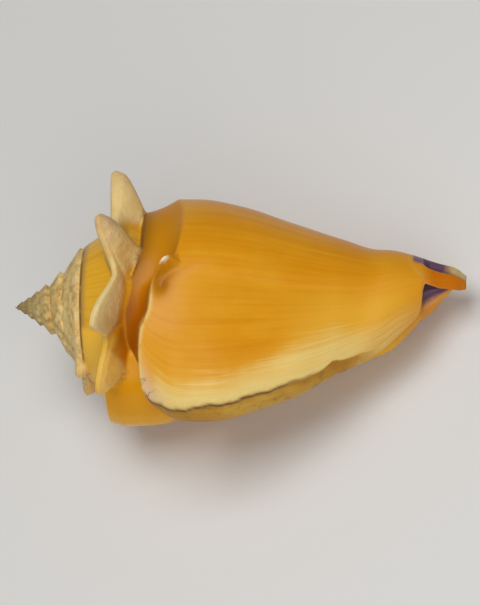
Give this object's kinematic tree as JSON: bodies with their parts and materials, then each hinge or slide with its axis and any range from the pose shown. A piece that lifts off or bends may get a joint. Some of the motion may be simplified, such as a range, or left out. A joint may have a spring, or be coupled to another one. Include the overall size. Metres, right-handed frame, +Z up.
{
  "type": "fighting conch shell",
  "caption": "Solid top-shaped sea shell with a spined spire, a flared outer lip beside a long open aperture, and a short notched canal at the front.",
  "frame": {"origin": "centre of the footprint's bounding box, on the ground the shell lies on", "axes": "+X runs level under the coiling axis from the apex towards the front canal, +Z up; the shell lies on its belly and one side with the outer lip raised on the -Y side"},
  "size_m": [0.0836, 0.0488, 0.0462],
  "materials": {
    "shell": "glossy porcelain-like shell, chalky on the spire"
  },
  "bodies": {
    "root": {"conch_shell": "shell"}
  },
  "joints": []
}
